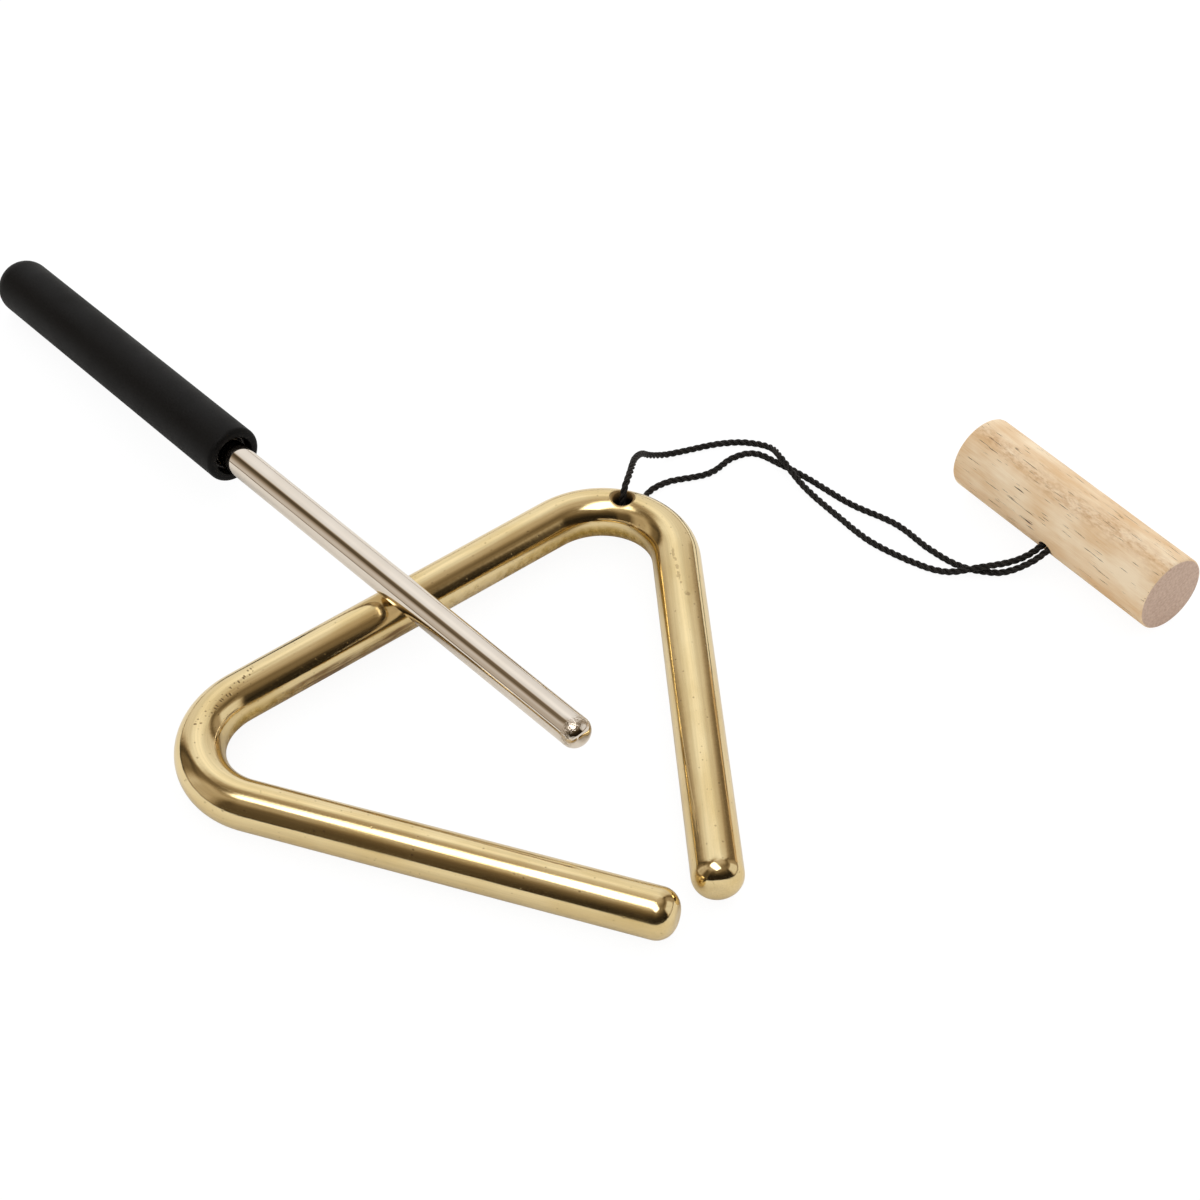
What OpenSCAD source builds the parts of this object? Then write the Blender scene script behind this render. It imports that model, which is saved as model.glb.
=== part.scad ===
// Triangle instrument lying on a table: a bent brass rod with a cord and wooden toggle in one
// bend, and a steel beater with a rubber grip lying across it. Millimetres, +Z up, table at z = 0.

/* [Triangle rod] */
// Diameter of the brass rod
rod_d = 11.1; // [9:0.1:13]
// Distance between the corner points of the two bends, along the rod's centreline
side_w = 150; // [120:1:190]
// Angle that the rod turns back to at each bend
corner_angle = 57.13; // [55:0.1:60]
// Radius of each bend, at the rod's centreline
bend_r = 17.8; // [14:0.1:26]
// Length of each free leg, from its corner point to its tip
leg_l = 128.3; // [100:0.1:130]
// Radius of the rounding round each tip of the rod
tip_fillet_r = 4.3; // [2:0.1:4.4]

/* [Suspension hole] */
// Diameter of the hole drilled down through one bend
hole_d = 4.8; // [3:0.1:5.6]
// Diameter of the countersunk mouth, level with the top of the rod
mouth_d = 6.2; // [5.8:0.1:7]
// How far the hole stands round the bend from its middle, towards the long side, in degrees
hole_turn = 5.6; // [-15:0.1:15]

/* [Toggle and cord] */
// Diameter of the wooden toggle
toggle_d = 18.1; // [14:0.1:25]
// Length of the wooden toggle
toggle_l = 61; // [45:1:90]
// Radius that eases the toggle's end edges
toggle_edge_r = 0.6; // [0.2:0.1:2]
// Diameter of the cross bore that the two cords enter
cord_bore_d = 4; // [3.8:0.1:5]
// Diameter of the counterbore that hides the knot
knot_bore_d = 6.6; // [6:0.1:8]
// Depth of the wood left between the knot and the middle of the toggle
knot_seat = 1.4; // [1.3:0.1:3]
// How far the toggle has rolled, which lowers the cords' mouth, in degrees
toggle_roll = 22; // [0:1:30]
// Diameter of the twisted cord
cord_d = 1.6; // [1:0.1:1.7]
// Length of the knot
knot_l = 4.6; // [3:0.1:6]

/* [Beater] */
// Diameter of the beater's steel rod
beater_d = 7.2; // [6:0.1:8]
// Length of the whole beater, from tip to the end of the grip
beater_l = 231.5; // [180:0.5:260]
// Radius of the rounding round the beater's tip
beater_fillet_r = 2.9; // [1.5:0.1:2.9]
// Diameter of the rubber grip
grip_d = 14; // [13:0.1:16]
// Length of the rubber grip
grip_l = 102; // [80:1:130]
// Radius of the rounding round the grip's closed end
grip_fillet_r = 6; // [3:0.1:6.4]
// Radius of the rounding round the grip's open mouth
grip_mouth_r = 1.2; // [0.4:0.1:1.8]
// Thickness of the rubber beyond the end of the rod
grip_end_wall = 9; // [5:0.5:20]
// Depth of the mouth, from its face to the liner sleeve
mouth_depth = 2.4; // [1:0.1:6]
// Wall of the liner sleeve between the rod and the rubber
sleeve_wall = 1.2; // [0.6:0.1:2]

/* [Layout on the table] */
// Where the beater crosses the long side, from the plain bend's corner point
cross_x = 73.4; // [55:0.1:95]
// How far the beater's tip reaches past the long side
tip_reach = 67.6; // [30:0.1:75]
// Direction from the crossing to the grip, in degrees from the long side
beater_turn = 93.1; // [80:0.1:100]
// Distance from the suspension hole to the toggle's axis, along the long side
toggle_x = 75.8; // [60:0.1:110]
// Distance from the suspension hole to the toggle's middle, across the long side
toggle_y = 69; // [50:0.1:90]

/* [Hidden] */
$fn = 96;

// Clearances: what lies on something, what is a push fit, and what sits loosely in a seat
rest_gap = 0.15;
push_gap = 0.03;
seat_gap = 0.1;
// Overrun of every cut
cut = 2;
// Fineness to which the start of a bend is rounded, so that bends and straights meet face to face
place_step = 0.001;

rod_r = rod_d / 2;
beater_r = beater_d / 2;
grip_r = grip_d / 2;
toggle_r = toggle_d / 2;
cord_r = cord_d / 2;

// The rod's plan: the plain bend's corner point at the origin, the long side along +X
tangent_l = round(bend_r / tan(corner_angle / 2) / place_step) * place_step;
bend_turn = 180 - corner_angle;
bend_room = bend_r + rod_d;
leg_x = cos(corner_angle);
leg_y = sin(corner_angle);
bend_x = side_w - tangent_l;
hole_dir = 90 - bend_turn / 2 + hole_turn;
hole_x = bend_x + bend_r * cos(hole_dir);
hole_y = -bend_r + bend_r * sin(hole_dir);

// The cord under the bored bend tips the rod about its far leg
lift_share = 0.75;
hole_lift = lift_share * cord_d;
lift_angle = asin(hole_lift / (hole_x * leg_y + hole_y * leg_x));
cross_lift = cross_x * leg_y * sin(lift_angle);

// The beater lies on the long side and on the grip's closed end
grip_reach = beater_l - tip_reach;
beater_tilt = asin((2 * rod_r + cross_lift + beater_r + rest_gap - grip_r) / (grip_reach - grip_fillet_r));
beater_rise = sqrt(pow(sin(beater_turn) * cos(beater_tilt), 2) + pow(sin(beater_tilt), 2))
    / (sin(beater_turn) * cos(beater_tilt));
cross_z = rod_r + cross_lift + (rod_r + beater_r + rest_gap) * beater_rise;
beater_run = sin(beater_turn) * cos(beater_tilt);

// The rod inside the grip, and the sleeve round it
rod_end = beater_l - grip_end_wall;
grip_start = beater_l - grip_l;
sleeve_r = beater_r + push_gap + sleeve_wall;

// Middle of the table area that the triangle, toggle and beater cover
low_x = tangent_l - bend_r - rod_r;
high_x = hole_x + toggle_x + toggle_r;
low_y = -(leg_l - tip_fillet_r) * leg_y - (rod_r - tip_fillet_r) * leg_x - tip_fillet_r;
high_y = (grip_reach - grip_fillet_r) * beater_run + (grip_r - grip_fillet_r) * sqrt(1 - pow(beater_run, 2))
    + grip_fillet_r;
mid_x = (low_x + high_x) / 2;
mid_y = (low_y + high_y) / 2;

// Knot: wraps of the cord round its own two ends
knot_wraps = 3;
wrap_r = knot_l / knot_wraps / 2;
knot_r = cord_r + 2 * wrap_r;

// Route of the cord: out of the toggle, along the table, up over the bored bend, down its hole,
// out beneath it and back along the table into the toggle
cord_route = [
    [96.1, -102.9, 9.6], [86.4, -102.9, 5.7], [80.4, -101.1, 3.4], [73.2, -97.2, 2.7],
    [67, -91.8, 1.1], [63.2, -83, 0.8], [60.8, -73, 0.8], [60.6, -62, 0.8],
    [60.8, -50, 1.2], [61.9, -40, 2.9], [63.2, -34.4, 1.5], [60.8, -29.2, 0.8],
    [55.6, -25.2, 0.8], [48.6, -22.2, 0.8], [42.6, -20.4, 1.4], [37.2, -21.4, 5],
    [33.4, -23.2, 8.9], [28.4, -27.2, 12.9], [23.2, -32.1, 14.6], [20.1, -34.2, 13.4],
    [19, -34.8, 10.5], [17.8, -35.5, 5.2], [18.5, -35.1, 2.2], [20.9, -33.7, 0.8],
    [24.2, -31.8, 0.8], [31.2, -27.9, 0.8], [37.4, -27.8, 0.8], [46.6, -31.6, 0.8],
    [54.4, -31, 0.8], [59.6, -33.2, 0.8], [61.8, -40, 0.8], [63.6, -48, 0.8],
    [65.6, -61, 0.8], [69.2, -73, 0.8], [69.6, -84, 0.8], [71.4, -93, 0.8],
    [76.2, -99.6, 0.9], [81, -103.3, 3.1], [86.4, -104.9, 5.7], [96.1, -104.9, 9.6]
];
cord_steps = 2;
cord_sides = 8;

// A point on the smooth curve through four neighbours, never below the table
function curve(a, b, c, d, t) =
    let (bend = 2 * a - 5 * b + 4 * c - d, twist = 3 * b - a - 3 * c + d)
    let (p = (2 * b + (c - a) * t + bend * t * t + twist * t * t * t) / 2)
    [p.x, p.y, max(p.z, cord_r)];
function route_at(i) = cord_route[min(max(i, 0), len(cord_route) - 1)];
cord_path = concat(
    [for (i = [0:len(cord_route) - 2], k = [0:cord_steps - 1])
        curve(route_at(i - 1), route_at(i), route_at(i + 1), route_at(i + 2), k / cord_steps)],
    [route_at(len(cord_route))]
);
cord_last = len(cord_path) - 1;

// Rings round the path, each turned as little as possible from the one before
function unit(v) = v / norm(v);
function heading(i) = unit(cord_path[min(i + 1, cord_last)] - cord_path[max(i - 1, 0)]);
function square_to(v, h) = unit(v - (v * h) * h);
function side_at(i) = i == 0 ? square_to([0, 0, 1], heading(0)) : square_to(side_at(i - 1), heading(i));
function ring(i) =
    let (h = heading(i), u = side_at(i), w = cross(h, u))
    [for (k = [0:cord_sides - 1])
        cord_path[i] + cord_r * (cos(360 * k / cord_sides) * u + sin(360 * k / cord_sides) * w)];

// One quarter of a round corner, its centre at the origin
module corner(r) {
    intersection() {
        circle(r);
        square(r);
    }
}

// Half outline of a rounded end, its shoulder on the X axis
module end_outline(r, fillet) {
    square([r - fillet, fillet]);
    translate([r - fillet, 0]) corner(fillet);
}

// A round bar on +Z with its far end rounded
module round_bar(r, l, fillet) {
    rotate_extrude() {
        square([r, l - fillet]);
        translate([0, l - fillet]) end_outline(r, fillet);
    }
}

// Places a thing drawn from the plain bend's corner point on the table
module on_table() {
    translate([-mid_x, -mid_y, 0]) children();
}

// Lays the flat triangle on its far leg and on the cord beneath the bored bend
module on_cord() {
    translate([0, 0, rod_r]) rotate(a = lift_angle, v = [leg_x, -leg_y, 0]) children();
}

// A bend of the rod and the free leg beyond it, from the corner point at the origin
module bend_and_leg() {
    translate([tangent_l, -bend_r, 0]) {
        intersection() {
            rotate_extrude() translate([bend_r, 0]) circle(rod_r);
            translate([-bend_room, -bend_room, -bend_room]) cube([bend_room, 2 * bend_room, 2 * bend_room]);
            rotate([0, 0, 90 + bend_turn]) translate([-bend_room, -bend_room, -bend_room])
                cube([2 * bend_room, bend_room, 2 * bend_room]);
        }
        rotate([0, 0, 90 + bend_turn]) translate([bend_r, 0, 0]) rotate([-90, 0, 0])
            round_bar(rod_r, leg_l - tangent_l, tip_fillet_r);
    }
}

// The straight stretch between the two bends
module long_side() {
    translate([tangent_l, 0, 0]) rotate([0, 90, 0]) cylinder(r = rod_r, h = side_w - 2 * tangent_l);
}

// The hole for the cord, countersunk where it leaves the rod above and below
module suspension_hole() {
    sink = (mouth_d - hole_d) / 2;
    cylinder(d = hole_d, h = 2 * (rod_r + cut), center = true);
    for (face = [0, 1])
        mirror([0, 0, face]) translate([0, 0, rod_r - sink])
            cylinder(d1 = hole_d, d2 = mouth_d + 2 * cut, h = sink + cut);
}

module triangle_rod() {
    color("#C9A24F") on_table() on_cord() difference() {
        union() {
            long_side();
            for (end = [0, 1])
                translate([end * side_w, 0, 0]) mirror([end, 0, 0]) bend_and_leg();
        }
        translate([hole_x, hole_y, 0]) suspension_hole();
    }
}

module cord() {
    side_faces = [for (i = [0:cord_last - 1], k = [0:cord_sides - 1])
        let (a = i * cord_sides + k, b = i * cord_sides + (k + 1) % cord_sides)
        each [[a, a + cord_sides, b + cord_sides], [a, b + cord_sides, b]]];
    near_end = [for (k = [0:cord_sides - 1]) k];
    far_end = [for (k = [cord_sides - 1:-1:0]) cord_last * cord_sides + k];
    color("#232120") polyhedron(
        points = [for (i = [0:cord_last]) each ring(i)],
        faces = concat([near_end], side_faces, [far_end])
    );
}

// Places a thing drawn along +X from the middle of the toggle, in line with its cross bore
module on_toggle() {
    on_table() translate([hole_x + toggle_x, hole_y - toggle_y, toggle_r])
        rotate([0, -toggle_roll, 0]) children();
}

module cord_knot() {
    color("#1A1817") on_toggle() translate([knot_seat + seat_gap, 0, 0]) rotate([0, 90, 0]) {
        cylinder(r = knot_r - wrap_r, h = knot_l);
        for (k = [0:knot_wraps - 1])
            translate([0, 0, (2 * k + 1) * wrap_r])
                rotate_extrude() translate([knot_r - wrap_r, 0]) circle(wrap_r);
    }
}

// Half outline of the toggle, with eased end edges
module toggle_outline() {
    inner = toggle_r - toggle_edge_r;
    square([inner, toggle_l]);
    translate([inner, toggle_edge_r]) square([toggle_edge_r, toggle_l - 2 * toggle_edge_r]);
    translate([inner, toggle_l - toggle_edge_r]) corner(toggle_edge_r);
    translate([inner, toggle_edge_r]) mirror([0, 1]) corner(toggle_edge_r);
}

module toggle() {
    color("#E2C79C") on_toggle() difference() {
        rotate([90, 0, 0]) translate([0, 0, -toggle_l / 2]) rotate_extrude() toggle_outline();
        rotate([0, 90, 0]) cylinder(d = cord_bore_d, h = 2 * (toggle_r + cut), center = true);
        translate([knot_seat, 0, 0]) rotate([0, 90, 0]) cylinder(d = knot_bore_d, h = toggle_r + cut);
    }
}

// Places a thing drawn on +Z from the beater's tip
module on_beater() {
    on_table() translate([cross_x, 0, cross_z]) rotate([0, 0, beater_turn]) rotate([0, beater_tilt, 0])
        translate([-tip_reach, 0, 0]) rotate([0, 90, 0]) children();
}

module beater_rod() {
    color("#C8C2B8") on_beater() translate([0, 0, rod_end]) mirror([0, 0, 1])
        round_bar(beater_r, rod_end, beater_fillet_r);
}

// Liner between rod and rubber, with a rounded lip that shows inside the mouth
module grip_sleeve() {
    lip_r = sleeve_wall / 2;
    start = grip_start + mouth_depth;
    color("#171514") on_beater() rotate_extrude() translate([beater_r + push_gap, start]) {
        translate([0, lip_r]) square([sleeve_wall, rod_end - start - lip_r]);
        translate([lip_r, lip_r]) mirror([0, 1]) corner(lip_r);
        translate([lip_r, lip_r]) mirror([0, 1]) mirror([1, 0]) corner(lip_r);
    }
}

// Half outline of the grip: an open mouth with a rounded edge, a bore and a domed closed end
module grip_outline() {
    inner = grip_r - grip_mouth_r;
    shoulder = grip_l - grip_fillet_r;
    difference() {
        union() {
            square([inner, shoulder]);
            translate([inner, grip_mouth_r]) square([grip_mouth_r, shoulder - grip_mouth_r]);
            translate([inner, grip_mouth_r]) mirror([0, 1]) corner(grip_mouth_r);
            translate([0, shoulder]) end_outline(grip_r, grip_fillet_r);
        }
        square([sleeve_r + push_gap, rod_end - grip_start + seat_gap]);
    }
}

module beater_grip() {
    color("#2A2725") on_beater() translate([0, 0, grip_start]) rotate_extrude() grip_outline();
}

triangle_rod();
cord();
cord_knot();
toggle();
beater_rod();
grip_sleeve();
beater_grip();
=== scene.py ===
import math

import bmesh
import bpy
from mathutils import Matrix, Vector
from mathutils.kdtree import KDTree


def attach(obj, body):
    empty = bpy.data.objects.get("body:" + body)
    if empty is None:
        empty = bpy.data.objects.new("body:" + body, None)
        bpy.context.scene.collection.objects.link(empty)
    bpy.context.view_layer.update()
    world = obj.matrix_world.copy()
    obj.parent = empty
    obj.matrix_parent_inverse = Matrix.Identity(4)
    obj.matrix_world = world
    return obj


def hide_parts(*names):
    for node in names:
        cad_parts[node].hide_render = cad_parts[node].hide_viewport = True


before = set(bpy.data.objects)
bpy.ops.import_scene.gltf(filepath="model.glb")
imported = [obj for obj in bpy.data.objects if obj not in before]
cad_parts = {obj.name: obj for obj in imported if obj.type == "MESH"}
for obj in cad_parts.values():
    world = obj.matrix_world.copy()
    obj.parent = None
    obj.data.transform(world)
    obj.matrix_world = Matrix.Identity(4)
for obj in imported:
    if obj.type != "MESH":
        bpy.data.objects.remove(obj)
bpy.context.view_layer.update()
mm = 0.001
print("frame loaded:", ", ".join(sorted(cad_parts)))


# Hex as read off a colour picker, turned to the linear values that Blender works in
def linearColour(code):
    shares = [int(code[i:i + 2], 16) / 255 for i in (1, 3, 5)]
    return [s / 12.92 if s <= 0.04045 else ((s + 0.055) / 1.055) ** 2.4 for s in shares] + [1.0]


# Sets a node's inputs, each to a value, a hex colour, a socket, or another node's first output in use
def feed(tree, node, inputs):
    for socket, value in inputs.items():
        if isinstance(value, str) and value.startswith("#"):
            value = linearColour(value)
        if isinstance(value, bpy.types.Node):
            value = next(output for output in value.outputs if output.enabled)
        if isinstance(value, bpy.types.NodeSocket):
            tree.links.new(value, node.inputs[socket])
        elif value is not None:
            node.inputs[socket].default_value = value


# Adds one node with its inputs, its settings and, for a colour ramp, its two stops
def addNode(tree, kind, inputs=None, stops=(), **settings):
    node = tree.nodes.new(kind)
    for name, value in settings.items():
        setattr(node, name, value)
    for k, (position, code) in enumerate(stops):
        node.color_ramp.elements[k].position = position
        node.color_ramp.elements[k].color = linearColour(code)
    feed(tree, node, inputs or {})
    return node


# Camera
cameraShot = {
    "place": (-0.240892, -0.402890, 0.429307),  # solved from the outlines of rod, dowel and beater
    "right": (0.798771, -0.600017, -0.044099),
    "up": (0.449930, 0.547088, 0.705874),
    "back": (-0.399410, -0.583673, 0.706964),
    "lens": 80.177,
    "sensor": 36,
    "clipStart": 0.01,
}
camera = bpy.data.objects.new("camera", bpy.data.cameras.new("camera"))
bpy.context.scene.collection.objects.link(camera)
camera.data.lens = cameraShot["lens"]
camera.data.sensor_width = cameraShot["sensor"]
camera.data.clip_start = cameraShot["clipStart"]
turn = Matrix((cameraShot["right"], cameraShot["up"], cameraShot["back"])).transposed().to_4x4()
camera.matrix_world = Matrix.Translation(cameraShot["place"]) @ turn
bpy.context.scene.camera = camera
print("camera set")


# Shared makers


# Moves are in millimetres and turns in degrees
def shift(x, y, z):
    return Matrix.Translation((x * mm, y * mm, z * mm))


def rotate(degrees, axis):
    return Matrix.Rotation(math.radians(degrees), 4, axis)


# A Geometry Nodes tree with named inputs; gives the tree, the inputs' identifiers, the inputs and the end
def newShapeTree(name, sizes):
    tree = bpy.data.node_groups.new(name, "GeometryNodeTree")
    tree.interface.new_socket(name="Geometry", in_out="INPUT", socket_type="NodeSocketGeometry")
    keys = {}
    for label, kind in {**sizes, "Finish": "Material"}.items():
        socket = tree.interface.new_socket(name=label, in_out="INPUT", socket_type="NodeSocket" + kind)
        keys[label] = socket.identifier
    tree.interface.new_socket(name="Geometry", in_out="OUTPUT", socket_type="NodeSocketGeometry")
    return tree, keys, addNode(tree, "NodeGroupInput").outputs, addNode(tree, "NodeGroupOutput")


def endShapeTree(tree, shape, given, result):
    shape = addNode(tree, "GeometryNodeRealizeInstances", {"Geometry": shape})
    shape = addNode(tree, "GeometryNodeSetMaterial", {"Geometry": shape, "Material": given["Finish"]})
    feed(tree, result, {0: shape})


def place(name, mesh):
    mesh.name = name
    piece = bpy.data.objects.new(name, mesh)
    bpy.context.scene.collection.objects.link(piece)
    return piece


# The piece's mesh with its modifiers applied
def finished(piece):
    view = bpy.context.evaluated_depsgraph_get()
    return bpy.data.meshes.new_from_object(piece.evaluated_get(view), depsgraph=view)


# Runs a shape tree along a line of points and gives its result as a plain mesh object
def grow(name, points, tree, keys, values):
    curve = bpy.data.curves.new(name + "Line", "CURVE")
    curve.dimensions = "3D"
    spline = curve.splines.new("POLY")
    spline.points.add(len(points) - 1)
    for spot, point in zip(spline.points, points):
        spot.co = (*point, 1)
    seed = bpy.data.objects.new(name + "Start", curve)
    bpy.context.scene.collection.objects.link(seed)
    modifier = seed.modifiers.new("shape", "NODES")
    modifier.node_group = tree
    for label, value in values.items():
        modifier[keys[label]] = value
    mesh = finished(seed)
    bpy.data.objects.remove(seed)
    return place(name, mesh)


# Turns an outline of (radius, height) in millimetres about +Z and puts the piece in its place; an outline
# that stays off the axis is a closed loop
def lathe(name, outline, sides, where):
    made = bmesh.new()
    rings = []
    for radius, height in outline:
        turns = [2 * math.pi * k / sides for k in range(sides if radius else 1)]
        rings.append([made.verts.new((radius * mm * math.cos(a), radius * mm * math.sin(a), height * mm))
            for a in turns])
    pairs = list(zip(rings, rings[1:]))
    if len(rings[0]) > 1:
        pairs.append((rings[-1], rings[0]))
    for low, high in pairs:
        for k in range(sides):
            n = (k + 1) % sides
            corners = [low[k % len(low)], low[n % len(low)], high[n % len(high)], high[k % len(high)]]
            made.faces.new(list(dict.fromkeys(corners)))
    bmesh.ops.recalc_face_normals(made, faces=made.faces)
    mesh = bpy.data.meshes.new(name)
    made.to_mesh(mesh)
    made.free()
    mesh.transform(where)
    return place(name, mesh)


# Points on a round about (r, z), between two angles in degrees
def roundOff(r, z, radius, start, end, steps):
    turns = [math.radians(start + (end - start) * k / steps) for k in range(steps + 1)]
    return [(r + radius * math.cos(a), z + radius * math.sin(a)) for a in turns]


# Evenly spaced rings between two heights, ends left out
def levels(radius, low, high, step):
    count = max(1, round(abs(high - low) / step))
    return [(radius, low + (high - low) * k / count) for k in range(1, count)]


# Cuts the cutter out of the piece for good
def cutAway(piece, cutter):
    modifier = piece.modifiers.new("cut", "BOOLEAN")
    modifier.object = cutter
    modifier.operation = "DIFFERENCE"
    modifier.solver = "EXACT"
    mesh = finished(piece)
    piece.modifiers.clear()
    piece.data = mesh
    bpy.data.objects.remove(cutter)


crispAngle = 35  # edges sharper than this many degrees stay crisp


def smooth(piece):
    piece.data.shade_smooth()
    piece.data.set_sharp_from_angle(angle=math.radians(crispAngle))


# Stores each point as if the piece's bar were pulled straight: millimetres along it, to its left and above it
def storeStraight(piece, points, step):
    line, gone = [], 0
    for a, b in zip(points, points[1:]):
        span = (b - a).length
        count = max(1, round(span / step))
        for k in range(count):
            line.append((a.lerp(b, k / count), (b - a).normalized(), gone + k / count * span))
        gone += span
    tree = KDTree(len(line))
    for i, (spot, _, _) in enumerate(line):
        tree.insert(spot, i)
    tree.balance()
    stored = piece.data.attributes.new("straight", "FLOAT_VECTOR", "POINT")
    for vertex, value in zip(piece.data.vertices, stored.data):
        spot, heading, along = line[tree.find(vertex.co)[1]]
        away = vertex.co - spot
        left = Vector((-heading.y, heading.x, 0))
        value.vector = ((along + away.dot(heading)) / mm, away.dot(left) / mm, away.z / mm)


# A material with its shader and its look: places x, y and z in millimetres, and the noises and shares of its
# finish. Places follow the bar as if it were pulled straight, or count from a centre on the table.
# A noise is given by its cells per millimetre, its levels of detail and, if need be, their roughness and a
# shift; a share by what it follows, the values between which it goes from 0 to 1, and other ends than these.
def newMaterial(name, slotName, finish, centre=None):
    material = bpy.data.materials.new(name)
    material.use_nodes = True
    material["finishSlot"] = slotName
    tree = material.node_tree
    tree.nodes.clear()
    shader = addNode(tree, "ShaderNodeBsdfPrincipled")
    addNode(tree, "ShaderNodeOutputMaterial", {"Surface": shader})
    if centre is None:
        spot = addNode(tree, "ShaderNodeAttribute", attribute_name="straight").outputs["Vector"]
    else:
        spot = addNode(tree, "ShaderNodeTexCoord").outputs["Object"]
        if any(centre):
            spot = addNode(tree, "ShaderNodeVectorMath", {0: spot, 1: tuple(centre)}, operation="SUBTRACT")
        spot = addNode(tree, "ShaderNodeVectorMath", {0: spot, "Scale": 1 / mm}, operation="SCALE")
    look = {"spot": spot}
    look["x"], look["y"], look["z"] = addNode(tree, "ShaderNodeSeparateXYZ", {0: spot}).outputs
    for label, given in finish["noises"].items():
        scale, detail, roughness, moved = (*given, None, None)[:4]
        at = spot
        if isinstance(scale, tuple):
            at = addNode(tree, "ShaderNodeMapping", {"Vector": spot, "Scale": scale, "Location": moved})
            scale = 1.0
        look[label] = addNode(tree, "ShaderNodeTexNoise", {
            "Vector": at, "Scale": scale, "Detail": detail, "Roughness": roughness})
    for label, (source, start, end, *ends) in finish.get("shares", {}).items():
        low, high = ends or (0.0, 1.0)
        look[label] = addNode(tree, "ShaderNodeMapRange", {
            "Value": look[source], "From Min": start, "From Max": end, "To Min": low, "To Max": high})
    return material, tree, shader, look


# Links up a finish: colours laid over a base by their shares, roughness, and bumps by strength and depth in
# millimetres, sunk in where the depth is below 0. A colour or a roughness may be a part of the look as well.
# A Mix node's two colours are its inputs 6 and 7.
def finishOff(tree, shader, look, finish, colour):
    for share, over in finish.get("layers", {}).items():
        colour = addNode(tree, "ShaderNodeMix", {0: look[share], 6: colour, 7: look.get(over, over)},
            data_type="RGBA")
    rough = look.get(finish["rough"], finish["rough"])
    for share, weight in finish.get("rougher", {}).items():
        rough = addNode(tree, "ShaderNodeMath", {0: look[share], 1: weight, 2: rough},
            operation="MULTIPLY_ADD")
    bump = None
    for pattern, (strength, depth) in finish["relief"].items():
        bump = addNode(tree, "ShaderNodeBump", {
            "Height": look[pattern], "Strength": strength, "Distance": abs(depth) * mm, "Normal": bump},
            invert=depth < 0)
    feed(tree, shader, {"Base Color": colour, "Roughness": rough, "Normal": bump, **finish.get("shader", {})})


# 1 where a value is close to its middle, 0 away from it: gone at the first distance, full from the second
def near(tree, value, middleValue, gone, full, **settings):
    off = addNode(tree, "ShaderNodeMath", {0: value, 1: middleValue}, operation="SUBTRACT")
    off = addNode(tree, "ShaderNodeMath", {0: off}, operation="ABSOLUTE")
    return addNode(tree, "ShaderNodeMapRange", {"Value": off, "From Min": gone, "From Max": full}, **settings)


def dress(piece, material, body, *nodes):
    piece.data.materials.clear()
    piece.data.materials.append(material)
    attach(piece, body)
    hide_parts(*nodes)


# Places on the table, in millimetres and degrees, as in the part's source
layout = {
    "middle": (113.1141, 27.1939),  # of the covered table area, from the plain bend's corner point
    "corner": 57.13,
    "rodRadius": 5.55,
    "lift": 0.644633,  # the cord under the bored bend tips the triangle by this much
    "hole": (132.0332, -7.8040),
    "crossing": (73.4, 15.5573),  # where and how high the beater's axis crosses the long side
    "beaterTurn": 93.1,
    "beaterTilt": 3.101654,
    "tipReach": 67.6,  # from the crossing to the beater's tip
    "toggle": (75.8, -69.0, 9.05),  # from the hole to the toggle's middle, and its radius
    "toggleRoll": 22,
}
holeX, holeY = layout["hole"]
toggleX, toggleY, toggleZ = layout["toggle"]
crossX, crossZ = layout["crossing"]
middle = shift(-layout["middle"][0], -layout["middle"][1], 0)
cornerTurn = math.radians(layout["corner"])
legAim = Vector((math.cos(cornerTurn), -math.sin(cornerTurn), 0))
onCord = middle @ shift(0, 0, layout["rodRadius"]) @ rotate(layout["lift"], legAim)
onBeater = (middle @ shift(crossX, 0, crossZ) @ rotate(layout["beaterTurn"], "Z")
    @ rotate(layout["beaterTilt"], "Y") @ shift(-layout["tipReach"], 0, 0) @ rotate(90, "Y"))
onToggle = middle @ shift(holeX + toggleX, holeY + toggleY, toggleZ) @ rotate(-layout["toggleRoll"], "Y")


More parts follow.
